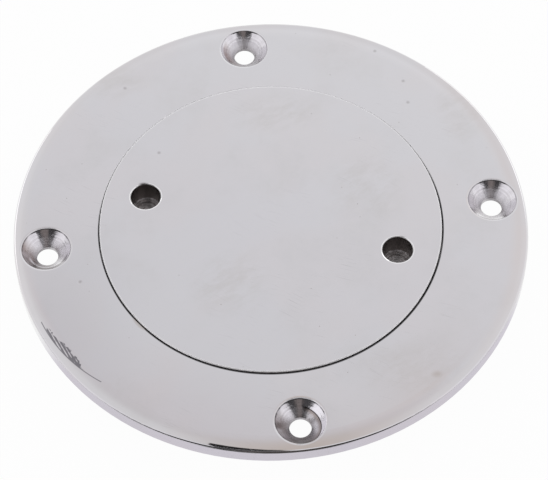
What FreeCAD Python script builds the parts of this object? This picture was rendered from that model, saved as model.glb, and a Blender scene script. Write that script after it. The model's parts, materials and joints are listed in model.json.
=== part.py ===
import FreeCAD, Part
import math
import os

import Sketcher
from FreeCAD import Vector

# Deck inspection plate: a lid that screws into a flanged ring with a threaded collar.
# Millimetres. The origin is the centre of the deck face under the flange, Z points out of the deck.

# Driving dimensions, each written once
SIZES = {
    "lid_radius": 38.3,
    "lid_side_gap": 0.25,
    "flange_height": 4.0,
    "screw_land": 11.75,
    "rim_land": 7.2,
    "crown_width": 4.0,
    "crown_bend": 50.0,
    "rim_round": 0.5,
    "small_bevel": 0.12,
    "deck_bevel": 0.3,
    "screw_count": 4,
    "screw_hole_radius": 2.4,
    "countersink_radius": 5.6,
    "countersink_angle": 90,
    "lid_rim_height": 2.8,
    "lid_plate_height": 3.4,
    "seal_height": 1.8,
    "seal_side_gap": 0.4,
    "collar_wall": 2.9,
    "collar_tail": 3.0,
    "collar_bevel": 0.5,
    "thread_pitch": 3.0,
    "thread_depth": 1.2,
    "thread_side_gap": 0.3,
    "thread_flank_gap": 0.2,
    "cutter_overrun": 0.6,
    "skirt_wall": 2.6,
    "key_hole_radius": 3.4,
    "key_hole_depth": 5.5,
    "key_hole_angle": -21.7,
    "key_boss_wall": 2.5,
    "key_boss_floor": 1.8,
    "key_boss_inset": 0.18,
}

# Dimensions that follow from the driving ones: the ring and its recess
RING = {
    "deck_level": "0",
    "recess_radius": "lid_radius + lid_side_gap",
    "screw_circle": "recess_radius + screw_land",
    "flange_radius": "screw_circle + rim_land",
    "recess_bevel_radius": "recess_radius + small_bevel",
    "recess_bevel_level": "flange_height - small_bevel",
    "crown_radius": "flange_radius - crown_width",
    "crown_centre_level": "flange_height - crown_bend",
    "rim_reach": "crown_width - rim_round",
    "rim_span": "crown_bend - rim_round",
    "rim_rise": "sqrt(rim_span ^ 2 - rim_reach ^ 2)",
    "rim_centre_radius": "flange_radius - rim_round",
    "rim_centre_level": "crown_centre_level + rim_rise",
    "rim_meet_radius": "crown_radius + rim_reach * crown_bend / rim_span",
    "rim_meet_level": "crown_centre_level + rim_rise * crown_bend / rim_span",
    "deck_bevel_radius": "flange_radius - deck_bevel",
    "deck_bevel_level": "deck_bevel",
    "collar_radius": "recess_radius + collar_wall",
    "collar_level": "skirt_level - collar_tail",
    "collar_bevel_radius": "collar_radius - collar_bevel",
    "collar_bevel_level": "collar_level + collar_bevel",
    "lid_rim_level": "flange_height - lid_rim_height",
    "seat_level": "lid_rim_level - seal_height",
    "seal_width": "seal_height * 1.25",
    "thread_radius": "recess_radius - seal_width - 2 * seal_side_gap",
    "bore_radius": "thread_radius - thread_depth",
    "lead_in_radius": "thread_radius + small_bevel",
    "lead_in_level": "seat_level - thread_depth - small_bevel",
    "lead_out_level": "collar_level + thread_depth + small_bevel",
}

# The lid and its threaded skirt
LID = {
    "axis": "0",
    "lid_bevel_radius": "lid_radius - small_bevel",
    "plate_level": "flange_height - lid_plate_height",
    "crest_radius": "thread_radius - thread_side_gap",
    "neck_radius": "crest_radius - thread_depth",
    "neck_height": "thread_pitch * 0.75",
    "neck_level": "lid_rim_level - neck_height",
    "neck_middle": "lid_rim_level - neck_height / 2",
    "skirt_level": "neck_level - thread_pitch * 2.5",
    "skirt_radius": "neck_radius - skirt_wall",
    "skirt_bevel_radius": "neck_radius - small_bevel",
    "skirt_bevel_level": "skirt_level + thread_depth + small_bevel",
    "key_boss_radius": "key_hole_radius + key_boss_wall",
    "key_circle": "crest_radius - key_boss_radius - key_boss_inset",
    "key_boss_level": "flange_height - key_hole_depth - key_boss_floor",
    "key_boss_height": "plate_level - key_boss_level + small_bevel",
    "key_x": "key_circle * cos(key_hole_angle * 1 deg)",
    "key_y": "key_circle * sin(key_hole_angle * 1 deg)",
}

# The rubber seal, squeezed flat between the rim of the lid and its seat
SEAL = {
    "seal_side_radius": "seal_height / 2",
    "seal_outer_flat": "recess_radius - seal_side_gap - seal_side_radius",
    "seal_inner_flat": "seal_outer_flat - seal_width + seal_height",
}

# The two thread cutters: widths of the tool where it meets the part, at its tip and past the open side
THREAD = {
    "flank_slope": "0.577",
    "crest_width": "thread_pitch * 0.3",
    "lid_cut_open": "thread_pitch - crest_width",
    "lid_cut_tip": "lid_cut_open - 2 * flank_slope * thread_depth",
    "lid_cut_past": "lid_cut_open + 2 * flank_slope * cutter_overrun",
    "lid_cut_past_radius": "crest_radius + cutter_overrun",
    "lid_cut_start": "neck_middle - 3.5 * thread_pitch",
    "lid_cut_height": "3.5 * thread_pitch",
    "ring_cut_tip": "crest_width + 2 * thread_flank_gap - 2 * flank_slope * thread_side_gap",
    "ring_cut_past": "ring_cut_tip + 2 * flank_slope * (thread_depth + cutter_overrun)",
    "ring_cut_past_radius": "bore_radius - cutter_overrun",
    "ring_cut_start": "neck_middle - 5 * thread_pitch",
    "ring_cut_height": "6 * thread_pitch",
    "lid_tip_low": "lid_cut_start - lid_cut_tip / 2",
    "lid_tip_high": "lid_cut_start + lid_cut_tip / 2",
    "lid_past_low": "lid_cut_start - lid_cut_past / 2",
    "lid_past_high": "lid_cut_start + lid_cut_past / 2",
    "ring_tip_low": "ring_cut_start - ring_cut_tip / 2",
    "ring_tip_high": "ring_cut_start + ring_cut_tip / 2",
    "ring_past_low": "ring_cut_start - ring_cut_past / 2",
    "ring_past_high": "ring_cut_start + ring_cut_past / 2",
}

FOLLOWING = {**RING, **LID, **SEAL, **THREAD}


def write_sizes(doc):
    """A sheet with every dimension under its own name."""
    sheet = doc.addObject("Spreadsheet::Sheet", "Sizes")
    cells = {**SIZES, **{name: f"={formula}" for name, formula in FOLLOWING.items()}}
    for row, name in enumerate(cells, start=1):
        sheet.set(f"A{row}", name)
        sheet.setAlias(f"B{row}", name)
    for name, content in cells.items():
        sheet.set(name, str(content))
    doc.recompute()
    return sheet


def new_body(name):
    """An empty body that carries the name of its sub-part."""
    body = doc.addObject("PartDesign::Body", name)
    body.Label = name
    return body


def new_sketch(body, name, role, level=None):
    """A sketch on one of the body's own planes, raised to a named level if one is given."""
    sketch = body.newObject("Sketcher::SketchObject", name)
    plane = next(item for item in body.Origin.OriginFeatures if item.Role == role)
    sketch.AttachmentSupport = (plane, "")
    sketch.MapMode = "FlatFace"
    if level:
        sketch.setExpression("AttachmentOffset.Base.z", f"Sizes.{level} * 1 mm")
    return sketch


def pin(sketch, geometry, position, across, up):
    """Ties one point of a sketch to two named dimensions."""
    for kind, name in (("DistanceX", across), ("DistanceY", up)):
        constraint = Sketcher.Constraint(kind, -1, 1, geometry, position, sheet.get(name))
        index = sketch.addConstraint(constraint)
        sketch.setExpression(f"Constraints[{index}]", f"Sizes.{name}")


def add_arc(sketch, start, end, centre_name):
    """An arc whose centre stands at a named distance from the axis; returns it and its two end numbers."""
    across = sheet.get(centre_name)
    reach = (end.x - across) ** 2 - (start.x - across) ** 2 + end.y ** 2 - start.y ** 2
    centre = Vector(across, reach / (2 * (end.y - start.y)), 0)
    circle = Part.Circle(centre, Vector(0, 0, 1), start.distanceToPoint(centre))
    first = math.atan2(start.y - centre.y, start.x - centre.x)
    last = math.atan2(end.y - centre.y, end.x - centre.x)
    runs_left = (last - first) % (2 * math.pi) < math.pi + 0.001
    angles = (first, last) if runs_left else (last, first)
    arc = sketch.addGeometry(Part.ArcOfCircle(circle, *angles), False)
    index = sketch.addConstraint(Sketcher.Constraint("DistanceX", -1, 1, arc, 3, across))
    sketch.setExpression(f"Constraints[{index}]", f"Sizes.{centre_name}")
    return (arc, 1, 2) if runs_left else (arc, 2, 1)


def draw_outline(sketch, corners):
    """A closed outline through named corners; a third name is the centre of an arc to the next corner."""
    points = [Vector(sheet.get(corner[0]), sheet.get(corner[1]), 0) for corner in corners]
    edges = []
    for corner, start, end in zip(corners, points, points[1:] + points[:1]):
        if len(corner) == 3:
            edges.append(add_arc(sketch, start, end, corner[2]))
        else:
            edges.append((sketch.addGeometry(Part.LineSegment(start, end), False), 1, 2))
    for corner, (edge, first, last), (following, joined, _) in zip(corners, edges, edges[1:] + edges[:1]):
        sketch.addConstraint(Sketcher.Constraint("Coincident", edge, last, following, joined))
        pin(sketch, edge, first, corner[0], corner[1])


def draw_circle(sketch, radius, across, up):
    """A circle of a named radius about a named point."""
    centre = Vector(sheet.get(across), sheet.get(up), 0)
    circle = sketch.addGeometry(Part.Circle(centre, Vector(0, 0, 1), sheet.get(radius)), False)
    pin(sketch, circle, 3, across, up)
    index = sketch.addConstraint(Sketcher.Constraint("Radius", circle, sheet.get(radius)))
    sketch.setExpression(f"Constraints[{index}]", f"Sizes.{radius}")


def turned(body, kind, name, corners):
    """A feature turned about Z: a Revolution adds the outline, a Groove cuts it away."""
    sketch = new_sketch(body, f"{name}_outline", "XZ_Plane")
    draw_outline(sketch, corners)
    feature = body.newObject(f"PartDesign::{kind}", name)
    feature.Profile = sketch
    feature.ReferenceAxis = (sketch, ["V_Axis"])
    feature.Angle = 360
    doc.recompute()
    return feature


def thread_cut(body, name, tip_radius, past_radius, prefix):
    """A helical cut with sloping flanks, from beyond one end of the thread to beyond the other."""
    sketch = new_sketch(body, f"{name}_tool", "XZ_Plane")
    draw_outline(sketch, [
        (tip_radius, f"{prefix}_tip_low"),
        (past_radius, f"{prefix}_past_low"),
        (past_radius, f"{prefix}_past_high"),
        (tip_radius, f"{prefix}_tip_high"),
    ])
    helix = body.newObject("PartDesign::SubtractiveHelix", name)
    helix.Profile = sketch
    helix.ReferenceAxis = (sketch, ["V_Axis"])
    helix.Mode = "pitch-height-angle"
    helix.setExpression("Pitch", "Sizes.thread_pitch * 1 mm")
    helix.setExpression("Height", f"Sizes.{prefix}_cut_height * 1 mm")
    doc.recompute()
    return helix


def round_hole(body, name, centre, radius, mouth, angle, depth=None):
    """A hole with a conical mouth, from the top face down; without a depth it goes right through."""
    sketch = new_sketch(body, f"{name}_centre", "XY_Plane", "flange_height")
    draw_circle(sketch, radius, *centre)
    hole = body.newObject("PartDesign::Hole", name)
    hole.Profile = sketch
    doc.recompute()
    hole.ThreadType = "None"
    hole.HoleCutType = "Countersink"
    hole.HoleCutCustomValues = True
    hole.DrillPoint = "Flat"
    hole.setExpression("Diameter", f"2 * Sizes.{radius} * 1 mm")
    hole.setExpression("HoleCutDiameter", f"2 * ({mouth}) * 1 mm")
    hole.setExpression("HoleCutCountersinkAngle", f"{angle} * 1 deg")
    hole.DepthType = "Dimension" if depth else "ThroughAll"
    if depth:
        hole.setExpression("Depth", f"Sizes.{depth} * 1 mm")
    doc.recompute()
    return hole


def around(body, name, feature, count):
    """Repeats a feature evenly about Z."""
    pattern = body.newObject("PartDesign::PolarPattern", name)
    axis = next(item for item in body.Origin.OriginFeatures if item.Role == "Z_Axis")
    pattern.Originals = [feature]
    pattern.Axis = (axis, [""])
    pattern.Angle = 360
    body.Tip = pattern
    pattern.setExpression("Occurrences", count)
    doc.recompute()
    return pattern


def build_ring():
    """The flange with its lid recess and seal seat, the threaded collar, then the countersunk screw holes."""
    body = new_body("deck_ring")
    turned(body, "Revolution", "ring_casting", [
        ("deck_bevel_radius", "deck_level"),
        ("flange_radius", "deck_bevel_level"),
        ("flange_radius", "rim_centre_level", "rim_centre_radius"),
        ("rim_meet_radius", "rim_meet_level", "crown_radius"),
        ("crown_radius", "flange_height"),
        ("recess_bevel_radius", "flange_height"),
        ("recess_radius", "recess_bevel_level"),
        ("recess_radius", "seat_level"),
        ("lead_in_radius", "seat_level"),
        ("bore_radius", "lead_in_level"),
        ("bore_radius", "lead_out_level"),
        ("lead_in_radius", "collar_level"),
        ("collar_bevel_radius", "collar_level"),
        ("collar_radius", "collar_bevel_level"),
        ("collar_radius", "deck_level"),
    ])
    thread_cut(body, "ring_thread", "thread_radius", "ring_cut_past_radius", "ring")
    hole = round_hole(
        body, "screw_hole", ("screw_circle", "axis"), "screw_hole_radius",
        "Sizes.countersink_radius", "Sizes.countersink_angle",
    )
    around(body, "screw_holes", hole, "Sizes.screw_count")
    return body


def build_lid():
    """The lid disc with its threaded skirt, and a blind key hole in each of two bosses."""
    body = new_body("lid")
    turned(body, "Revolution", "lid_casting", [
        ("axis", "plate_level"),
        ("skirt_radius", "plate_level"),
        ("skirt_radius", "skirt_level"),
        ("skirt_bevel_radius", "skirt_level"),
        ("crest_radius", "skirt_bevel_level"),
        ("crest_radius", "lid_rim_level"),
        ("lid_radius", "lid_rim_level"),
        ("lid_radius", "recess_bevel_level"),
        ("lid_bevel_radius", "flange_height"),
        ("axis", "flange_height"),
    ])
    sketch = new_sketch(body, "key_boss_outline", "XY_Plane", "key_boss_level")
    draw_circle(sketch, "key_boss_radius", "key_x", "key_y")
    boss = body.newObject("PartDesign::Pad", "key_boss")
    boss.Profile = sketch
    boss.setExpression("Length", "Sizes.key_boss_height * 1 mm")
    doc.recompute()
    around(body, "key_bosses", boss, "2")
    turned(body, "Groove", "neck", [
        ("neck_radius", "neck_level"),
        ("lid_cut_past_radius", "neck_level"),
        ("lid_cut_past_radius", "lid_rim_level"),
        ("neck_radius", "lid_rim_level"),
    ])
    thread_cut(body, "lid_thread", "neck_radius", "lid_cut_past_radius", "lid")
    hole = round_hole(
        body, "key_hole", ("key_x", "key_y"), "key_hole_radius",
        "Sizes.key_hole_radius + Sizes.small_bevel", "Sizes.countersink_angle", "key_hole_depth",
    )
    around(body, "key_holes", hole, "2")
    return body


def build_seal():
    """The rubber ring, flat above and below where it is squeezed and round at its sides."""
    body = new_body("lid_seal")
    turned(body, "Revolution", "seal_ring", [
        ("seal_inner_flat", "seat_level"),
        ("seal_outer_flat", "seat_level", "seal_outer_flat"),
        ("seal_outer_flat", "lid_rim_level"),
        ("seal_inner_flat", "lid_rim_level", "seal_inner_flat"),
    ])
    return body


def check(bodies):
    """Stops the build if an object has an error or a sub-part has no valid single solid."""
    for item in doc.Objects:
        if "Invalid" in item.State or "Error" in item.State:
            raise RuntimeError(f"{item.Name}: {item.State}")
    for body in bodies:
        shape = body.Shape
        if shape.isNull() or not shape.isValid() or len(shape.Solids) != 1:
            raise RuntimeError(f"{body.Name} has no valid single solid")


doc = FreeCAD.newDocument("DeckPlate")
sheet = write_sizes(doc)
sub_parts = [build_ring(), build_lid(), build_seal()]
doc.recompute()
check(sub_parts)
os.makedirs("parts", exist_ok=True)
for sub_part in sub_parts:
    sub_part.Shape.exportStep(f"parts/{sub_part.Name}.step")
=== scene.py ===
import json
import math

import bpy
from mathutils import Matrix, Vector
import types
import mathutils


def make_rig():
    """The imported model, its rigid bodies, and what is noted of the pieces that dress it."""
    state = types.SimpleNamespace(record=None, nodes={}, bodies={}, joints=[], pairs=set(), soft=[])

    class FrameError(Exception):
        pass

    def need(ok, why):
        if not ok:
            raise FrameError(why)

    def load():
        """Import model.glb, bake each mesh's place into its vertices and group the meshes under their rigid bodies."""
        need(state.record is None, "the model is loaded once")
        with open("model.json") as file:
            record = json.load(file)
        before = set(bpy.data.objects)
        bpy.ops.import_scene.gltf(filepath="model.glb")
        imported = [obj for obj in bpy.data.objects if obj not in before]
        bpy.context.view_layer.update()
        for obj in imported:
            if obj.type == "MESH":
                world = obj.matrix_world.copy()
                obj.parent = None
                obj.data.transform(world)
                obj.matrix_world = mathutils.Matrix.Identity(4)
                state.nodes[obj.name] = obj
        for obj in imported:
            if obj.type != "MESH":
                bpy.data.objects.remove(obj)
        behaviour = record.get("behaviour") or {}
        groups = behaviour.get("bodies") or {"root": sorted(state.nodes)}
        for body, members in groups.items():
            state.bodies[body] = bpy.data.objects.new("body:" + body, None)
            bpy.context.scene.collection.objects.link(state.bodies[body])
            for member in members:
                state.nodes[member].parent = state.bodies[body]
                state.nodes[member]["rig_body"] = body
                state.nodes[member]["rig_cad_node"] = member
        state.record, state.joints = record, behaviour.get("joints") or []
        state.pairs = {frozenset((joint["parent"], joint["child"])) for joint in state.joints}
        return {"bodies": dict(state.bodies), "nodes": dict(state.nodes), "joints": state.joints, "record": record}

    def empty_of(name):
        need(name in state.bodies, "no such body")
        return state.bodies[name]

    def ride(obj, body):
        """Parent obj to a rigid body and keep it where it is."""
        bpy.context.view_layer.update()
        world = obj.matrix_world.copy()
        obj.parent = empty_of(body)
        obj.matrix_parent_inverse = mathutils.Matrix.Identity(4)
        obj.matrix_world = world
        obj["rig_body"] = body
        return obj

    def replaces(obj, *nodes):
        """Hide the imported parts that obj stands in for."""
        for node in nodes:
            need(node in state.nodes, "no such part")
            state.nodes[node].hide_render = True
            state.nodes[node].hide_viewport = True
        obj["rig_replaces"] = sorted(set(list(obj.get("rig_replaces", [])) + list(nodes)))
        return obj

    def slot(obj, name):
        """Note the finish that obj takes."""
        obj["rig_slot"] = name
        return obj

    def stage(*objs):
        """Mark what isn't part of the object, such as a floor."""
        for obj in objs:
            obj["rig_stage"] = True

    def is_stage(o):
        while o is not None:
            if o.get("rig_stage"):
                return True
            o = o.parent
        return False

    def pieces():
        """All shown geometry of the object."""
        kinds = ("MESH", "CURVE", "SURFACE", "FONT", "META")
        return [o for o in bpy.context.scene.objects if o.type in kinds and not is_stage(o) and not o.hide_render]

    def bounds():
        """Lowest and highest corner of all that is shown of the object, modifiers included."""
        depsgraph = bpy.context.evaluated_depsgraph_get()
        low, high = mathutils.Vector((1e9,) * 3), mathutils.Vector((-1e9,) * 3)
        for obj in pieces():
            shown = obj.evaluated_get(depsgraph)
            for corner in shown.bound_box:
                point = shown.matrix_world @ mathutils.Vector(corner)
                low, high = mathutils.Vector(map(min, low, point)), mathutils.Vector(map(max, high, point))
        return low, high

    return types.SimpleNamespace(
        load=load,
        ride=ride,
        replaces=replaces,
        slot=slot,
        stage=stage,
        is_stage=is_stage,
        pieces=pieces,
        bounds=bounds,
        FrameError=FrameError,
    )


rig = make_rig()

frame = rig.load()
MM = 0.001

# Sizes of the part that the materials and the camera need, in millimetres
FLANGE_RADIUS = 57.5
FLANGE_TOP = 4.0
CROWN_RADIUS = 53.5
RECESS_RADIUS = 38.55
SEAM_WIDTH = 0.25
SEAM_RADIUS = RECESS_RADIUS - SEAM_WIDTH / 2
SEAM_BEVEL = 0.12
SCREW_CIRCLE = 50.3
COUNTERSINK_RADIUS = 5.6
KEY_CIRCLE = 29.12
KEY_HOLE_RADIUS = 3.4
KEY_HOLE_DEPTH = 5.5
KEY_ANGLE = -21.7
COLLAR_BOTTOM = -11.55

# The lid lies against the far side of its recess, as far as the play round it lets it
LID_SHIFT = (0.0, 0.24)
SCREW_SPOTS = [(0, SCREW_CIRCLE), (SCREW_CIRCLE, 0), (0, -SCREW_CIRCLE), (-SCREW_CIRCLE, 0)]
KEY_SPOTS = [
    (
        KEY_CIRCLE * math.cos(math.radians(angle)) + LID_SHIFT[0],
        KEY_CIRCLE * math.sin(math.radians(angle)) + LID_SHIFT[1],
    )
    for angle in (KEY_ANGLE, KEY_ANGLE + 180)
]

# Where hands have left the polish a little dull: the middle and the half width each way
LID_SMUDGES = [((5.5, 30.5), (17, 9)), ((-11.0, -14.5), (14, 13)), ((23.0, 7.0), (13, 16))]
RING_SMUDGES = [((-31.0, 44.0), (11, 8)), ((26.0, -41.0), (18, 11)), ((47.0, 25.0), (8, 15))]
# A patch with more hairlines than the rest
RUBBED_MIDDLE = (44.6, 20.2)
RUBBED_SIZE = (8.0, 5.5)
# The larger pits in the polish
PITS = [(-29.0, 42.2), (30.5, 45.4), (35.8, 29.4), (35.7, 35.7), (-43.5, -9.8), (-22.9, 22.7)]
PIT_SIZE = (0.65, 0.65)
# The dark hatched patch on the rim: its middle, the way it runs, half its length and how far it bulges outwards
HATCH_MIDDLE = (-46.86, -27.26)
HATCH_ANGLE = 125.1
HATCH_HALF_LENGTH = 10.4
HATCH_BULGE = 1.55
HATCH_PITCH = 0.6

# Colours of the steel
POLISHED = (0.78, 0.775, 0.785)
WARM_POLISHED = (0.785, 0.77, 0.775)
DULLED = (0.745, 0.737, 0.737)
SMUDGED = (0.715, 0.701, 0.690)
PITTED = (0.3, 0.28, 0.27)
SCRATCHED = (0.5, 0.49, 0.5)
# Painted highlight for the edges of holes and of the seam
PAINTED_HIGHLIGHT = (0.97, 0.97, 0.97)
# Painted shade for the seam and the near edge of its recess
PAINTED_GAP_SHADE = (0.012, 0.011, 0.012)
DARK_CAST = (0.52, 0.51, 0.51)
PALE_CAST = (0.63, 0.62, 0.62)
# Painted dark reflection along the front of the rim
PAINTED_DARK_REFLECTION = (0.04, 0.036, 0.036)
BROWN_STAIN = (0.60, 0.55, 0.51)
HATCHED_DARK = (0.17, 0.165, 0.185)
BURR = (0.12, 0.11, 0.11)

# The view of the photograph: its turn about Z in degrees, and its height above the horizon in radians
CAMERA_AZIMUTH = -6.45
CAMERA_ELEVATION = 0.989515
# The rest of the camera: its focal length in pixels, its roll in radians, and lengths in flange radii
CAMERA_FOCAL = 2140.68
CAMERA_ROLL = -0.016173
CAMERA_DISTANCE = 8.284446
CAMERA_AIM = (0.01178, -0.076149)
PHOTO_WIDTH = 548


def note_bounds(moment):
    """Keeps the size of the shown object in a small file."""
    path = "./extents.json"
    kept = {} if moment == "loaded" else json.load(open(path))
    kept[moment] = [list(corner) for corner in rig.bounds()]
    json.dump(kept, open(path, "w"))


class Nodes:
    """Adds shader nodes in short calls; every value may be a number or another node's output."""

    def __init__(self, tree):
        self.tree = tree
        tree.nodes.clear()

    def add(self, kind, inputs=(), **settings):
        node = self.tree.nodes.new(kind)
        for name, value in settings.items():
            setattr(node, name, value)
        for key, value in dict(inputs).items():
            self.set(node.inputs[key], value)
        return node

    def set(self, socket, value):
        if isinstance(value, bpy.types.NodeSocket):
            self.tree.links.new(value, socket)
        else:
            socket.default_value = value

    def math(self, operation, first, second=0.0):
        return self.add("ShaderNodeMath", {0: first, 1: second}, operation=operation).outputs[0]

    def times(self, *values):
        product = values[0]
        for value in values[1:]:
            product = self.math("MULTIPLY", product, value)
        return product

    def plus(self, *values):
        total = values[0]
        for value in values[1:]:
            total = self.math("ADD", total, value)
        return total

    def largest(self, *values):
        largest = values[0]
        for value in values[1:]:
            largest = self.math("MAXIMUM", largest, value)
        return largest

    def minus(self, first, second):
        return self.math("SUBTRACT", first, second)

    def opposite(self, share):
        return self.minus(1.0, share)

    def under(self, value, limit):
        """One where value is under limit, nothing elsewhere."""
        return self.math("LESS_THAN", value, limit)

    def over(self, value, limit):
        """One where value is over limit, nothing elsewhere."""
        return self.math("GREATER_THAN", value, limit)

    def vector(self, operation, first, second=(0, 0, 0)):
        node = self.add("ShaderNodeVectorMath", {0: first, 1: second}, operation=operation)
        return node.outputs["Value" if operation in ("LENGTH", "DISTANCE", "DOT_PRODUCT") else "Vector"]

    def scaled(self, vector, factor):
        node = self.add("ShaderNodeVectorMath", {0: vector, "Scale": factor}, operation="SCALE")
        return node.outputs["Vector"]

    def mapped(self, vector, degrees, shift=(0, 0, 0)):
        """The vector turned about Z and shifted, for a texture."""
        inputs = {"Vector": vector, "Rotation": (0, 0, math.radians(degrees)), "Location": shift}
        return self.add("ShaderNodeMapping", inputs).outputs[0]

    def turned(self, vector, degrees, centre=(0, 0, 0)):
        """The vector turned about an upright axis through centre."""
        inputs = {"Vector": vector, "Center": centre, "Angle": math.radians(degrees)}
        return self.add("ShaderNodeVectorRotate", inputs, rotation_type="Z_AXIS").outputs[0]

    def split(self, vector):
        return self.add("ShaderNodeSeparateXYZ", {0: vector}).outputs

    def join(self, x, y):
        return self.add("ShaderNodeCombineXYZ", {0: x, 1: y}).outputs[0]

    def fade(self, value, start, end, low=0.0, high=1.0):
        """Goes smoothly from low to high as value goes from start to end."""
        inputs = {"Value": value, "From Min": start, "From Max": end, "To Min": low, "To Max": high}
        node = self.add("ShaderNodeMapRange", inputs, interpolation_type="SMOOTHSTEP")
        return node.outputs["Result"]

    def fade_out(self, value, start, end):
        """Goes smoothly from 1 to 0 as value goes from start to end."""
        return self.fade(value, start, end, 1.0, 0.0)

    def share(self, value, start, end):
        """Goes evenly from 0 to 1 as value goes from start to end."""
        inputs = {"Value": value, "From Min": start, "From Max": end}
        return self.add("ShaderNodeMapRange", inputs).outputs["Result"]

    def band(self, value, low, high, soft):
        """One between low and high, nothing outside."""
        return self.times(self.fade(value, low - soft, low + soft),
                          self.fade_out(value, high - soft, high + soft))

    def spot(self, across, ahead, centre, size):
        """A soft round spot: one at its centre, nothing past its size each way."""
        offset = self.join(self.math("DIVIDE", self.minus(across, centre[0]), size[0]),
                           self.math("DIVIDE", self.minus(ahead, centre[1]), size[1]))
        return self.fade_out(self.vector("LENGTH", offset), 0.0, 1.0)

    def noise(self, vector, scale, detail=2.0, roughness=0.5):
        inputs = {"Vector": vector, "Scale": scale, "Detail": detail, "Roughness": roughness}
        return self.add("ShaderNodeTexNoise", inputs).outputs[0]

    def line_noise(self, position, scale, detail=2.0):
        inputs = {"W": position, "Scale": scale, "Detail": detail}
        return self.add("ShaderNodeTexNoise", inputs, noise_dimensions="1D").outputs[0]

    def mix(self, factor, first, second):
        colours = [colour(*value) if isinstance(value, tuple) else value for value in (first, second)]
        node = self.add("ShaderNodeMix", {0: factor, 6: colours[0], 7: colours[1]}, data_type="RGBA")
        return node.outputs[2]

    def layers(self, base, *coats):
        """Lays coats over a base colour, each a strength and a colour."""
        for strength, tint in coats:
            base = self.mix(strength, base, tint)
        return base

    def ramp(self, value, stops):
        """A colour that runs through stops, each a position from 0 to 1 and a colour."""
        node = self.add("ShaderNodeValToRGB", {0: value})
        elements = node.color_ramp.elements
        elements.remove(elements[0])
        for index, (position, tint) in enumerate(stops):
            stop = elements[0] if index == 0 else elements.new(position)
            stop.position = position
            stop.color = colour(*tint)
        return node.outputs[0]

    def bump(self, height):
        """A normal from a height in millimetres."""
        inputs = {"Height": height, "Distance": MM, "Strength": 1.0}
        return self.add("ShaderNodeBump", inputs).outputs["Normal"]


def colour(red, green, blue):
    return (red, green, blue, 1.0)


def new_material(name):
    material = bpy.data.materials.new(name)
    material.use_nodes = True
    return material, Nodes(material.node_tree)


def millimetres(nodes):
    """The place on the part in millimetres."""
    return nodes.scaled(nodes.add("ShaderNodeTexCoord").outputs["Object"], 1000.0)


def hole_places(nodes, flat, holes):
    """The place in the plane as seen from the nearest hole, and how far that hole's axis is."""
    place = (0, 0, 0)
    reach = 8.0
    far_away = 100.0
    for hole in holes:
        away = nodes.vector("SUBTRACT", flat, (hole[0], hole[1], 0))
        near = nodes.under(nodes.vector("LENGTH", away), reach)
        place = nodes.vector("ADD", place, nodes.scaled(away, near))
    outside = nodes.under(nodes.vector("LENGTH", place), 0.001)
    return place, nodes.plus(nodes.vector("LENGTH", place), nodes.times(outside, far_away))


def hairlines(nodes, place, angle, seed):
    """Fine short scratches that run one way, from stretched noise, in loose patches."""
    turned = nodes.mapped(place, angle, (seed, 2 * seed, 0))
    stretched = nodes.vector("MULTIPLY", turned, (0.16, 5.0, 1.0))
    lines = nodes.fade(nodes.noise(stretched, 1.0, 1.0), 0.66, 0.74)
    x, y, _ = nodes.split(place)
    rubbed = nodes.spot(x, y, RUBBED_MIDDLE, RUBBED_SIZE)
    patches = nodes.fade(nodes.noise(turned, 0.07, 2.0), 0.55, 0.68)
    return nodes.times(lines, nodes.largest(patches, rubbed))


def pitting(nodes, place, x, y):
    """Fine pits strewn over the polish, and the larger ones in their places."""
    strewn = nodes.add("ShaderNodeTexVoronoi", {"Vector": place, "Scale": 0.2}).outputs["Distance"]
    larger = [nodes.spot(x, y, middle, PIT_SIZE) for middle in PITS]
    return nodes.largest(nodes.fade_out(strewn, 0.015, 0.035), *larger)


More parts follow.
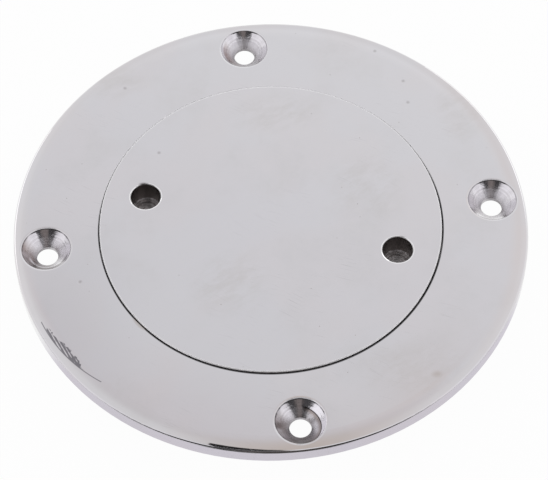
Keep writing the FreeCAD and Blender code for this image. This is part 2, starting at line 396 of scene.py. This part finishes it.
class SteelFace:
    """A point of the steel: its place in millimetres, and from 0 to 1 its share of each zone and mark."""

    def __init__(self, nodes, centre, holes, hole_radius, edge_light):
        self.hole_radius = hole_radius
        self.edge_light = edge_light
        self.place = millimetres(nodes)
        self.x, self.y, self.z = nodes.split(self.place)
        self.flat = nodes.join(self.x, self.y)
        self.radius = nodes.vector("DISTANCE", self.flat, (centre[0], centre[1], 0))
        self.around, self.hole = hole_places(nodes, self.flat, holes)
        self.find_zones(nodes)
        self.find_seam(nodes)
        self.find_marks(nodes)

    def find_zones(self, nodes):
        """The holes, the unpolished metal below and inside, the wall of the rim, and the flat top."""
        self.in_hole = nodes.times(nodes.fade_out(self.hole, self.hole_radius, self.hole_radius + 0.1),
                                   nodes.fade_out(self.z, FLANGE_TOP - 0.14, FLANGE_TOP - 0.04))
        below = nodes.fade_out(self.z, -0.05, 0.15)
        inside = nodes.times(nodes.fade_out(self.z, FLANGE_TOP - 0.5, FLANGE_TOP - 0.2),
                             nodes.fade_out(self.radius, RECESS_RADIUS + 0.2, RECESS_RADIUS + 0.6))
        self.plain = nodes.times(nodes.largest(below, inside), nodes.opposite(self.in_hole))
        self.rim_wall = nodes.fade(self.radius, FLANGE_RADIUS - 0.07, FLANGE_RADIUS - 0.01)
        self.flat_top = nodes.fade_out(self.radius, CROWN_RADIUS, CROWN_RADIUS + 1.5)

    def find_seam(self, nodes):
        """The walls of the seam, the painted highlight on the lid's edge and on the far wall, and the painted shade in
        the seam and on the near edge of the recess.
        """
        bevel_level = FLANGE_TOP - SEAM_BEVEL
        self.from_seam = nodes.math("ABSOLUTE", nodes.minus(self.radius, SEAM_RADIUS))
        self.seam_wall = nodes.under(self.from_seam, 0.2)
        self.above_wall = nodes.over(self.z, bevel_level)
        under_wall = nodes.opposite(self.above_wall)
        on_recess = nodes.over(self.radius, SEAM_RADIUS)
        far_half = nodes.fade(self.y, 0, 15)
        # Painted highlight: a bright band at the edges of the seam, strong on the lid, and a bright far wall of the
        # recess
        self.seam_highlight = nodes.times(nodes.fade_out(self.from_seam, 0.3, 0.42), self.edge_light,
                                  nodes.fade(self.z, FLANGE_TOP - 0.46, FLANGE_TOP - 0.38))
        self.far_wall_highlight = nodes.times(self.seam_wall, on_recess, under_wall, far_half,
                                     nodes.fade(self.z, FLANGE_TOP - 0.5, FLANGE_TOP - 0.2))
        # Painted shade: a dark line on the near edge of the recess, and dark walls down in the seam
        past_edge_shade = nodes.minus(self.from_seam, nodes.fade(self.y, -45, 0, 0.37, 0.25))
        wall_shade = nodes.times(self.seam_wall, under_wall,
                                 nodes.fade(self.z, FLANGE_TOP - 1.3, FLANGE_TOP - 1.0))
        edge_shade = nodes.times(nodes.fade_out(past_edge_shade, -0.03, 0.03), on_recess, nodes.opposite(far_half))
        self.gap_shade = nodes.largest(wall_shade, edge_shade)

    def find_marks(self, nodes):
        """Haze, the grain of the casting, hairlines and pits."""
        self.haze = nodes.noise(self.place, 0.5, 3.0, 0.65)
        self.grain = nodes.noise(self.place, 3.0, 3.0, 0.6)
        self.lines = nodes.largest(hairlines(nodes, self.place, 24, 3.1),
                                   hairlines(nodes, self.place, 38, 7.7))
        self.pits = pitting(nodes, self.place, self.x, self.y)


def mouth_highlight(nodes, face):
    """A painted highlight: the bright line at the mouth of a hole, strong on the lid, on the ring mostly at the near
    left.
    """
    near_side = nodes.fade(nodes.vector("DOT_PRODUCT", face.around, (-0.6, -0.7, 0)), 1.5, 4.5, 0.0, 0.55)
    width = 0.12 + 0.1 * face.edge_light
    line = nodes.fade_out(face.hole, face.hole_radius + width, face.hole_radius + width + 0.18)
    return nodes.times(line, nodes.largest(near_side, face.edge_light))


def dullness(nodes, face):
    """Wide soft patches of haze."""
    patches = nodes.fade(nodes.noise(face.place, 0.07, 3.0, 0.55), 0.48, 0.72)
    return nodes.times(patches, nodes.fade(face.haze, 0.3, 0.7, 0.5, 1.0), 0.8)


def smudging(nodes, face, smudges):
    """Mottled marks of hands, faint all over and strong in the smudges."""
    touched = nodes.largest(0.15, *[nodes.spot(face.x, face.y, middle, size) for middle, size in smudges])
    wiped = nodes.vector("MULTIPLY", nodes.mapped(face.place, -25), (0.5, 1.0, 1.0))
    mottle = nodes.fade(nodes.noise(wiped, 0.4, 5.0, 0.7), 0.3, 0.75)
    return nodes.times(mottle, nodes.fade(touched, 0.0, 0.9, 0.0, 0.8))


def polish_colour(nodes, face, smudges):
    """Polished steel with its haze, smudges, pits and hairlines, the painted shade in the seam and the painted
    highlights on the edges.
    """
    return nodes.layers(
        POLISHED,
        (nodes.fade(nodes.noise(face.place, 0.045, 2.0), 0.42, 0.6), WARM_POLISHED),
        (dullness(nodes, face), DULLED),
        (smudging(nodes, face, smudges), SMUDGED),
        (nodes.times(face.pits, 0.45), PITTED),
        (nodes.times(face.lines, 0.25), SCRATCHED),
        # painted shade in the seam
        (face.gap_shade, PAINTED_GAP_SHADE),
        # painted highlights at the mouths of holes and at the seam
        (nodes.largest(mouth_highlight(nodes, face), face.seam_highlight, face.far_wall_highlight), PAINTED_HIGHLIGHT),
    )


def polish_roughness(nodes, face):
    """Nearly a mirror, and a little duller in the haze, on scratches and at the edges."""
    return nodes.plus(
        nodes.times(nodes.fade(face.haze, 0.3, 0.8, 0.0, 0.03), face.flat_top),
        nodes.times(face.lines, 0.08),
        nodes.times(face.rim_wall, 0.1),
        nodes.times(face.seam_highlight, 0.25),
        nodes.times(face.far_wall_highlight, 0.5),
        0.015,
    )


def seam_relief(nodes, face):
    """Two heights at the seam: one makes the bevels mirror as if level, and one rolls the lid's edge over."""
    bevel_level = FLANGE_TOP - SEAM_BEVEL
    levelling = -1.41
    on_bevel = nodes.times(nodes.under(face.from_seam, SEAM_WIDTH / 2 + SEAM_BEVEL + 0.005), face.above_wall,
                           nodes.under(face.z, FLANGE_TOP - 0.0005))
    levelled = nodes.times(on_bevel, nodes.minus(face.z, bevel_level))
    rolled = nodes.times(face.seam_wall, face.edge_light,
                         nodes.share(face.z, FLANGE_TOP - 0.42, bevel_level))
    return nodes.times(levelled, levelling), nodes.times(rolled, -0.3)


def rim_relief(nodes, face):
    """The top rolls down towards the rim, in two steps."""
    roll = nodes.share(face.radius, FLANGE_RADIUS - 0.46, FLANGE_RADIUS - 0.2)
    end = nodes.share(face.radius, FLANGE_RADIUS - 0.3, FLANGE_RADIUS - 0.2)
    return nodes.plus(nodes.times(roll, -0.042), nodes.times(end, -0.009))


def hole_relief(nodes, face):
    """The polish rolls over a little into each hole."""
    depth = -0.06 * face.edge_light - 0.005
    return nodes.fade(face.hole, face.hole_radius, face.hole_radius + 0.35, depth, 0.0)


def steel_relief(nodes, face):
    """The bumps of the steel apart from those in its holes, in millimetres."""
    return nodes.plus(
        nodes.times(face.haze, face.flat_top, 0.0004),
        nodes.times(face.lines, face.flat_top, -0.0004),
        nodes.times(face.pits, -0.01),
        *seam_relief(nodes, face),
        rim_relief(nodes, face),
        nodes.times(face.grain, face.plain, 0.03),
        hole_relief(nodes, face),
    )


def steel(name, centre, holes, hole_radius, hole_look, edge_light, marks, smudges):
    """Mirror-polished steel above, turned metal in the holes, and plain cast and turned metal below."""
    material, nodes = new_material(name)
    face = SteelFace(nodes, centre, holes, hole_radius, edge_light)
    polish = polish_colour(nodes, face, smudges)
    polish, roughness = marks(nodes, face, polish, polish_roughness(nodes, face))
    cast = nodes.mix(face.grain, DARK_CAST, PALE_CAST)
    hole_base, hole_roughness, hole_height = hole_look(nodes, face)
    base = nodes.layers(polish, (face.plain, cast), (face.in_hole, hole_base))
    roughness = nodes.plus(roughness, nodes.times(face.plain, 0.3), nodes.times(face.in_hole, hole_roughness))
    height = nodes.plus(steel_relief(nodes, face), nodes.times(hole_height, face.in_hole))
    shader = nodes.add("ShaderNodeBsdfPrincipled", {
        "Base Color": base, "Roughness": roughness, "Normal": nodes.bump(height), "Metallic": 1.0,
    })
    nodes.add("ShaderNodeOutputMaterial", {"Surface": shader.outputs[0]})
    return material


class Countersink:
    """A point of a countersink as seen from its axis, and how far to the front it lies: 0 behind, and 1 in front."""

    def __init__(self, nodes, face):
        self.place = face.place
        self.around = face.around
        self.hole = face.hole
        self.x, self.y, _ = nodes.split(face.around)
        self.axis_x, axis_y, _ = nodes.split(nodes.vector("SUBTRACT", face.place, face.around))
        nearness = nodes.plus(nodes.times(self.axis_x, -0.3), nodes.times(axis_y, -1.0))
        self.frontness = nodes.share(nearness, -50, 50)
        self.low_side = nodes.plus(
            nodes.times(self.x, nodes.plus(nodes.times(self.frontness, 0.25), -0.85)),
            nodes.times(self.y, nodes.plus(nodes.times(self.frontness, -0.4), -0.35)),
            nodes.times(self.frontness, 2.5),
        )


def low_side_darkening(nodes, at):
    """A brown darkening on the low side of the cone, spreading further in the countersinks towards the front, and a
    dark line round its mouth.
    """
    darkening = nodes.times(
        nodes.fade(at.low_side, 1.5, 4.5),
        nodes.fade(nodes.noise(at.place, 0.5, 3.0), 0.35, 0.65, 0.7, 1.0),
        nodes.fade(at.axis_x, 10, 40, 1.0, 0.2),
        nodes.largest(nodes.fade_out(at.hole, 4.6, 5.2), nodes.fade(at.frontness, 0.0, 0.6)),
    )
    outline = nodes.times(
        nodes.fade(at.hole, 5.3, 5.42),
        nodes.fade(nodes.noise(at.place, 0.35, 2.0), 0.35, 0.6, 0.3, 0.8),
        nodes.largest(nodes.math("MINIMUM", nodes.plus(at.frontness, 0.25), 1.0), nodes.fade(at.x, -1, 3)),
    )
    darkening_colour = nodes.mix(at.frontness, (0.42, 0.32, 0.30), (0.31, 0.275, 0.265))
    return (darkening, darkening_colour), (outline, (0.32, 0.31, 0.31))


def painted_step_rings(nodes, at):
    """Painted shade and highlight of a step: a dark and a light ring in the left countersink."""
    stepped = nodes.times(nodes.band(at.frontness, 0.55, 0.75, 0.02), nodes.fade_out(at.y, -2.5, -0.5))
    dark = nodes.times(stepped, nodes.band(at.hole, 4.55, 5.0, 0.12), 0.8)
    light = nodes.times(stepped, nodes.band(at.hole, 3.75, 4.25, 0.1))
    return (dark, (0.24, 0.225, 0.225)), (light, (0.95, 0.94, 0.96))


def painted_front_facet(nodes, at):
    """Painted highlight and shade of a small facet: a bright cut with a dark foot, in a brown shade, on the right of
    the front countersink.
    """
    cut = nodes.vector("DISTANCE", at.around, (-0.9, -0.8, 0))
    right_side = nodes.fade(at.x, 0.8, 1.6)
    front_hole = nodes.fade(at.frontness, 0.9, 0.95)
    facet_highlight = nodes.times(nodes.fade(cut, 5.05, 5.15), right_side, front_hole)
    shade = nodes.times(nodes.fade(cut, 4.2, 5.1), right_side, front_hole)
    foot = nodes.times(facet_highlight, nodes.fade_out(cut, 5.22, 5.38))
    return (shade, (0.40, 0.35, 0.33)), (facet_highlight, (0.95, 0.94, 0.97)), (foot, (0.07, 0.055, 0.05))


def painted_mouth_shade(nodes, at):
    """Painted shade: broken dark marks at the mouth, on the low side, stronger towards the front countersink."""
    mouth = nodes.times(
        nodes.fade(at.hole, 5.1, 5.4),
        nodes.fade(at.low_side, 1.5, 3.5),
        nodes.fade_out(at.x, 1, 3),
        nodes.fade(nodes.noise(at.place, 0.9, 2.0), 0.35, 0.6),
    )
    return nodes.times(mouth, at.frontness), (0.10, 0.09, 0.09)


def countersink_look(nodes, face):
    """A polished cone, a little hollow, with fine turned rings, greyer towards the bore, darker and browner on its low
    side, with painted shade at its mouth and painted light and shade on a step and a facet.
    """
    at = Countersink(nodes, face)
    turn = nodes.math("ARCTAN2", at.y, at.x)
    rings = nodes.line_noise(at.hole, 1.8, 3.0)
    fine = nodes.line_noise(at.hole, 8.0, 1.0)
    streaks = nodes.noise(nodes.join(nodes.times(turn, 3.0), nodes.times(at.hole, 0.5)), 1.3, 3.0)
    deep = nodes.fade_out(at.hole, 2.6, 3.4)
    turned = nodes.fade_out(at.hole, 3.4, 4.8)
    base = nodes.layers(
        (0.87, 0.86, 0.88),
        (nodes.fade(streaks, 0.35, 0.7), (0.77, 0.76, 0.78)),
        (nodes.fade(rings, 0.4, 0.75, 0.0, 0.5), (0.56, 0.54, 0.55)),
        *low_side_darkening(nodes, at),
        # painted shade and highlight of a step
        *painted_step_rings(nodes, at),
        # painted highlight and shade of a facet
        *painted_front_facet(nodes, at),
        # painted shade at the mouth
        painted_mouth_shade(nodes, at),
        (nodes.times(deep, 0.65), nodes.mix(fine, (0.42, 0.41, 0.41), (0.70, 0.68, 0.69))),
    )
    roughness = nodes.plus(0.08, nodes.times(turned, nodes.fade(at.frontness, 0.0, 1.0, 0.26, 0.1)),
                           nodes.fade(fine, 0.3, 0.7, 0.0, 0.04))
    hollow = nodes.math("POWER", nodes.largest(nodes.minus(at.hole, 4.0), 0.0), 2.0)
    height = nodes.plus(nodes.times(hollow, 0.026), nodes.times(rings, 0.012), nodes.times(fine, 0.002),
                        nodes.times(streaks, 0.05), nodes.fade(at.hole, 5.25, 5.6, 0.0, 0.04))
    return base, roughness, height


def key_hole_look(nodes, face):
    """A drilled hole with dark rough walls and rings on its floor."""
    rings = nodes.line_noise(face.hole, 2.4, 3.0)
    floor_level = FLANGE_TOP - KEY_HOLE_DEPTH
    floor = nodes.fade_out(face.z, floor_level + 0.05, floor_level + 0.3)
    bright = nodes.fade(nodes.plus(rings, nodes.noise(face.place, 1.1, 3.0)), 0.75, 1.3)
    turned = nodes.mix(bright, (0.32, 0.31, 0.31), (0.82, 0.80, 0.80))
    base = nodes.mix(floor, (0.15, 0.13, 0.12), turned)
    return base, 0.35, nodes.times(rings, 0.06)


def painted_dark_band(nodes, x, y, radius):
    """A painted dark reflection: a dark band in front, where the top turns into the rim."""
    return nodes.times(nodes.band(radius, FLANGE_RADIUS - 0.25, FLANGE_RADIUS - 0.07, 0.03),
                       nodes.fade(x, -12, -8), nodes.fade_out(x, 14, 26), nodes.under(y, 0.0))


def brown_stains(nodes, x, y, radius):
    """A faint stain beside the seam on the left, and a small one near the rim on the right."""
    smear = nodes.times(nodes.spot(x, y, (-31.8, -22.4), (3.2, 3.2)), nodes.fade_out(radius, 38.8, 39.5))
    return nodes.largest(nodes.fade(smear, 0.1, 0.7), nodes.spot(x, y, (30.4, -43.0), (1.8, 1.3)))


def dark_hatching(nodes, flat):
    """A patch of dark hatching with a thin dark line along its outer side."""
    middle = (HATCH_MIDDLE[0], HATCH_MIDDLE[1], 0)
    turned = nodes.turned(flat, -HATCH_ANGLE, middle)
    along, side, _ = nodes.split(nodes.vector("SUBTRACT", turned, middle))
    share = nodes.math("DIVIDE", along, HATCH_HALF_LENGTH)
    outer = nodes.times(nodes.opposite(nodes.times(share, share)), HATCH_BULGE)
    inward = nodes.minus(outer, side)
    strokes = nodes.plus(nodes.times(along, 0.227), nodes.times(side, 0.974))
    wave = nodes.plus(nodes.math("SINE", nodes.times(strokes, 2 * math.pi / HATCH_PITCH)),
                      nodes.fade(nodes.noise(flat, 0.7, 1.0), 0.3, 0.7, -0.5, 0.4),
                      nodes.fade(along, -3.0, 3.0, 0.5, 0.0))
    hatch = nodes.largest(nodes.fade(wave, -0.9, -0.2), nodes.fade_out(inward, 0.15, 0.3))
    jagged = nodes.plus(side, nodes.fade(nodes.line_noise(along, 0.6), 0.35, 0.65, -0.2, 0.3),
                        nodes.fade(along, -6.2, -1.5, -1.1, 0.0))
    body = nodes.times(nodes.fade(inward, 0.0, 0.12), nodes.fade(jagged, -0.15, 0.05), hatch,
                       nodes.fade(along, -5.8, -4.6), nodes.fade_out(along, 7.6, 8.4))
    outer_line = nodes.times(nodes.fade(inward, 0.0, 0.1), nodes.fade_out(inward, 0.2, 0.34),
                          nodes.under(nodes.math("ABSOLUTE", share), 0.98))
    return nodes.largest(nodes.times(body, 0.85), nodes.times(outer_line, 0.75))


def rim_marks(nodes, face, polish, roughness):
    """The marks of the ring: a painted dark reflection in front, faint brown stains and a dark hatched patch."""
    radius = nodes.vector("LENGTH", face.flat)
    hatched_patch = dark_hatching(nodes, face.flat)
    polish = nodes.layers(
        polish,
        # painted dark reflection in front
        (nodes.times(painted_dark_band(nodes, face.x, face.y, radius), 0.65), PAINTED_DARK_REFLECTION),
        (nodes.times(brown_stains(nodes, face.x, face.y, radius), 0.6), BROWN_STAIN),
        (hatched_patch, HATCHED_DARK),
    )
    return polish, nodes.plus(roughness, nodes.times(hatched_patch, 0.12))


def lid_marks(nodes, face, polish, roughness):
    """A small dark burr at the mouth of the left key hole."""
    left_x, left_y = KEY_SPOTS[1]
    burr = nodes.spot(face.x, face.y, (left_x - 0.35, left_y + 3.45), (1.3, 0.7))
    return nodes.mix(burr, polish, BURR), roughness


def rubber(name):
    """Black rubber with a dusty, slightly uneven skin."""
    material, nodes = new_material(name)
    dust = nodes.noise(millimetres(nodes), 1.2, 4.0, 0.6)
    shader = nodes.add("ShaderNodeBsdfPrincipled", {
        "Base Color": nodes.mix(dust, (0.018, 0.018, 0.019), (0.045, 0.044, 0.043)),
        "Roughness": nodes.fade(dust, 0.2, 0.8, 0.5, 0.75),
        "Normal": nodes.bump(nodes.times(dust, 0.02)),
    })
    nodes.add("ShaderNodeOutputMaterial", {"Surface": shader.outputs[0]})
    return material


def mirrored_floor(nodes):
    """The floor as the part mirrors it, shaded in front and under the part; lengths are in metres."""
    x, y, _ = nodes.split(nodes.add("ShaderNodeTexCoord").outputs["Object"])
    reach = nodes.vector("LENGTH", nodes.join(x, y))
    some_reach = nodes.plus(reach, 0.001)
    front = nodes.fade_out(nodes.math("DIVIDE", y, some_reach), -0.45, -0.2)
    shaded = nodes.times(front, nodes.fade_out(reach, 0.15, 0.3))
    behind = nodes.vector("DISTANCE", nodes.join(x, y), (0.0, 0.072, 0.0))
    under = nodes.largest(nodes.fade_out(reach, 0.052, 0.060), nodes.fade_out(behind, 0.012, 0.03))
    sideways = nodes.math("DIVIDE", nodes.plus(x, nodes.times(y, -0.113)), some_reach)
    strip = nodes.times(nodes.fade(reach, 0.074, 0.082), nodes.fade_out(reach, 0.2, 0.3),
                        nodes.fade_out(nodes.math("ABSOLUTE", sideways), 0.25, 0.4), nodes.under(y, 0.0))
    return nodes.layers(
        (1.0, 1.0, 1.0),
        (shaded, (0.735, 0.705, 0.768)),
        (under, (0.52, 0.51, 0.52)),
        (strip, (0.05, 0.048, 0.05)),
    )


def floor_material():
    """White for the camera and shaded in reflections, while the shadow of the part stays on it."""
    material, nodes = new_material("floor")
    path = nodes.add("ShaderNodeLightPath").outputs
    shown = nodes.mix(path["Is Glossy Ray"], (1.0, 1.0, 1.0), mirrored_floor(nodes))
    matt = nodes.add("ShaderNodeBsdfDiffuse", {"Color": colour(0.85, 0.85, 0.85)})
    glow = nodes.add("ShaderNodeEmission", {"Color": shown})
    seen = nodes.largest(path["Is Camera Ray"], path["Is Glossy Ray"], path["Is Transmission Ray"])
    mixed = nodes.add("ShaderNodeMixShader", {
        0: nodes.times(seen, 0.97), 1: matt.outputs[0], 2: glow.outputs[0],
    })
    nodes.add("ShaderNodeOutputMaterial", {"Surface": mixed.outputs[0]})
    return material


class Sight:
    """A direction of the room, by the slope of the face that mirrors it to the camera."""

    def __init__(self, nodes):
        direction = nodes.add("ShaderNodeTexCoord").outputs["Generated"]
        turned = nodes.turned(direction, -CAMERA_AZIMUTH)
        view = (0, math.cos(CAMERA_ELEVATION), -math.sin(CAMERA_ELEVATION))
        slope = nodes.vector("NORMALIZE", nodes.vector("SUBTRACT", turned, view))
        self.across, self.ahead, _ = nodes.split(slope)
        self.depth = nodes.vector("LENGTH", nodes.join(self.across, self.ahead))
        turn = nodes.math("ARCTAN2", self.across, nodes.times(self.ahead, -1.0))
        self.bearing = nodes.math("DEGREES", turn)
        self.height = nodes.split(turned)[2]


def room_light(nodes, sight):
    """The brightness of the room, as level faces and as steep ones in front and at the sides mirror it."""
    tone = nodes.plus(sight.ahead, nodes.times(sight.across, 0.3))
    level = nodes.ramp(nodes.share(tone, -0.12, 0.08), [
        (0.0, (0.66, 0.64, 0.66)), (0.35, (0.695, 0.668, 0.695)), (0.44, (0.742, 0.736, 0.765)),
        (0.6, (0.765, 0.758, 0.79)), (0.85, (0.81, 0.805, 0.83)), (1.0, (0.84, 0.835, 0.86)),
    ])
    front = nodes.ramp(sight.depth, [
        (0.0, (0.74, 0.73, 0.74)), (0.13, (0.78, 0.77, 0.79)), (0.3, (0.78, 0.77, 0.79)),
        (0.6, (0.86, 0.84, 0.88)), (1.0, (0.92, 0.90, 0.93)),
    ])
    sides = nodes.ramp(sight.depth, [
        (0.0, (0.76, 0.75, 0.77)), (0.11, (0.78, 0.77, 0.79)), (0.15, (0.88, 0.87, 0.89)),
        (1.0, (0.93, 0.91, 0.94)),
    ])
    steep = nodes.mix(nodes.fade(nodes.math("ABSOLUTE", sight.bearing), 45, 70), front, sides)
    return nodes.mix(nodes.fade(sight.depth, 0.08, 0.125), level, steep)


def soft_shades(nodes, sight, room):
    """Wide soft shades that the level faces mirror."""
    side_shade = nodes.spot(sight.across, sight.ahead, (-0.062, -0.022), (0.03, 0.032))
    warm_right = nodes.spot(sight.across, sight.ahead, (0.105, 0.01), (0.05, 0.12))
    front_right = nodes.spot(sight.across, sight.ahead, (0.045, -0.045), (0.035, 0.03))
    warm_front = nodes.spot(sight.across, sight.ahead, (0.012, -0.11), (0.075, 0.065))
    return nodes.layers(
        room,
        (nodes.times(side_shade, 0.6), (0.63, 0.625, 0.66)),
        (nodes.times(warm_right, 0.7), (0.79, 0.745, 0.745)),
        (nodes.times(front_right, 0.7), (0.705, 0.66, 0.665)),
        (warm_front, (0.61, 0.545, 0.515)),
    )


def beam_and_post(nodes, sight, room):
    """A dark beam overhead and a dark post towards the camera, mirrored in front by the rounded rim."""
    edge = nodes.plus(nodes.times(sight.ahead, -1.0), nodes.times(sight.across, -0.197))
    left_side = nodes.minus(sight.bearing, nodes.fade(sight.depth, 0.1, 0.65, -17.2, -12.6))
    right_side = nodes.minus(sight.bearing, nodes.times(nodes.math("POWER", sight.depth, 3.0), 17.0))
    between = nodes.times(nodes.fade(left_side, -0.4, 0.4), nodes.fade_out(right_side, 0.5, 3.0))
    beam = nodes.times(nodes.fade(edge, 0.1095, 0.1106), between, nodes.fade_out(sight.depth, 0.235, 0.245))
    post = nodes.times(nodes.fade(sight.depth, 0.325, 0.335), between)
    post_colour = nodes.ramp(sight.depth, [
        (0.0, (0.03, 0.028, 0.032)), (0.585, (0.03, 0.028, 0.032)), (0.60, (0.60, 0.585, 0.61)),
        (0.635, (0.55, 0.53, 0.55)), (0.655, (0.03, 0.028, 0.03)), (1.0, (0.03, 0.028, 0.03)),
    ])
    return nodes.layers(room, (beam, (0.022, 0.021, 0.022)), (post, post_colour))


def horizon_and_figure(nodes, sight, room):
    """A dark low horizon in front, and a dark figure at the camera, lighter in its middle."""
    off_middle = nodes.math("ABSOLUTE", sight.bearing)
    horizon = nodes.times(nodes.fade_out(sight.height, 0.05, 0.2), nodes.fade_out(off_middle, 50, 75))
    spread = nodes.minus(off_middle, nodes.fade(sight.depth, 0.68, 0.80, 0.0, 18.0))
    figure = nodes.times(nodes.fade(sight.depth, 0.645, 0.67), nodes.fade_out(spread, 16, 26))
    from_face = nodes.math("ABSOLUTE", nodes.minus(sight.bearing, 3.0))
    middle = nodes.times(nodes.fade_out(from_face, 3, 14), nodes.fade_out(sight.depth, 0.76, 0.80))
    figure_colour = nodes.mix(middle, (0.05, 0.048, 0.05), (0.19, 0.165, 0.16))
    return nodes.layers(room, (nodes.times(horizon, 0.8), (0.20, 0.19, 0.21)), (figure, figure_colour))


def studio():
    """The room round the part: light above and behind, darker over the camera, and white behind the part."""
    world = bpy.data.worlds.new("studio")
    bpy.context.scene.world = world
    world.use_nodes = True
    nodes = Nodes(world.node_tree)
    sight = Sight(nodes)
    room = soft_shades(nodes, sight, room_light(nodes, sight))
    room = beam_and_post(nodes, sight, room)
    room = horizon_and_figure(nodes, sight, room)
    path = nodes.add("ShaderNodeLightPath").outputs
    shown = nodes.mix(path["Is Camera Ray"], room, (1.0, 1.0, 1.0))
    background = nodes.add("ShaderNodeBackground", {"Color": shown, "Strength": 1.0})
    nodes.add("ShaderNodeOutputWorld", {"Surface": background.outputs[0]})


def ground():
    """A wide plain floor under the collar."""
    bpy.ops.mesh.primitive_plane_add(size=6.0, location=(0, 0, COLLAR_BOTTOM * MM))
    floor = bpy.context.object
    floor.name = "floor"
    floor.data.materials.append(floor_material())
    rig.stage(floor)


def softbox(name, azimuth, elevation, distance, size, power):
    """A large square lamp that looks at the part; azimuth 0 is in front."""
    lamp = bpy.data.lights.new(name, "AREA")
    lamp.size = size
    lamp.energy = power
    holder = bpy.data.objects.new(name, lamp)
    bpy.context.scene.collection.objects.link(holder)
    turn, rise = math.radians(azimuth), math.radians(elevation)
    holder.location = distance * Vector((
        math.sin(turn) * math.cos(rise), -math.cos(turn) * math.cos(rise), math.sin(rise),
    ))
    holder.rotation_euler = (-holder.location).to_track_quat("-Z", "Y").to_euler()


def lamps():
    """Two large soft lamps behind the part, left and right."""
    for name, azimuth in (("left_lamp", 220), ("right_lamp", 140)):
        softbox(name, azimuth, elevation=27, distance=1.5, size=0.7, power=1.0)


def photo_camera():
    """The camera of the photograph, from the fitted view."""
    forward = Vector((0, math.cos(CAMERA_ELEVATION), -math.sin(CAMERA_ELEVATION)))
    right = Vector((1, 0, 0))
    up = right.cross(forward)
    right, up = (
        math.cos(CAMERA_ROLL) * right + math.sin(CAMERA_ROLL) * up,
        math.cos(CAMERA_ROLL) * up - math.sin(CAMERA_ROLL) * right,
    )
    place = Vector((CAMERA_AIM[0], CAMERA_AIM[1], 0)) - CAMERA_DISTANCE * forward
    turn = Matrix.Rotation(math.radians(CAMERA_AZIMUTH), 4, "Z")
    matrix = Matrix((right, up, -forward)).transposed().to_4x4()
    matrix.translation = place * FLANGE_RADIUS * MM
    lens = bpy.data.cameras.new("camera")
    lens.sensor_width = 36
    lens.lens = CAMERA_FOCAL * lens.sensor_width / PHOTO_WIDTH
    camera = bpy.data.objects.new("camera", lens)
    bpy.context.scene.collection.objects.link(camera)
    camera.matrix_world = Matrix.Translation((0, 0, FLANGE_TOP * MM)) @ turn @ matrix
    bpy.context.scene.camera = camera


def dress(piece, material):
    """Gives a piece its one material."""
    piece.data.materials.clear()
    piece.data.materials.append(material)


def seated_lid():
    """The lid as it lies in its recess, a little off centre."""
    mesh = frame["nodes"]["lid"].data.copy()
    mesh.transform(Matrix.Translation((LID_SHIFT[0] * MM, LID_SHIFT[1] * MM, 0)))
    piece = bpy.data.objects.new("seated_lid", mesh)
    bpy.context.scene.collection.objects.link(piece)
    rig.ride(piece, "lid_body")
    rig.slot(piece, "lid_steel")
    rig.replaces(piece, "lid")
    return piece


def ring_steel():
    """The flange, its countersinks and its collar."""
    return steel(
        "ring_steel", centre=(0, 0), holes=SCREW_SPOTS, hole_radius=COUNTERSINK_RADIUS,
        hole_look=countersink_look, edge_light=0.15, marks=rim_marks, smudges=RING_SMUDGES,
    )


def lid_steel():
    """The lid and its key holes."""
    return steel(
        "lid_steel", centre=LID_SHIFT, holes=KEY_SPOTS, hole_radius=KEY_HOLE_RADIUS,
        hole_look=key_hole_look, edge_light=1.0, marks=lid_marks, smudges=LID_SMUDGES,
    )


note_bounds("loaded")
dress(frame["nodes"]["deck_ring"], ring_steel())
dress(seated_lid(), lid_steel())
dress(frame["nodes"]["lid_seal"], rubber("seal_rubber"))
studio()
ground()
lamps()
photo_camera()
bpy.context.scene.view_settings.view_transform = "Standard"
note_bounds("finished")
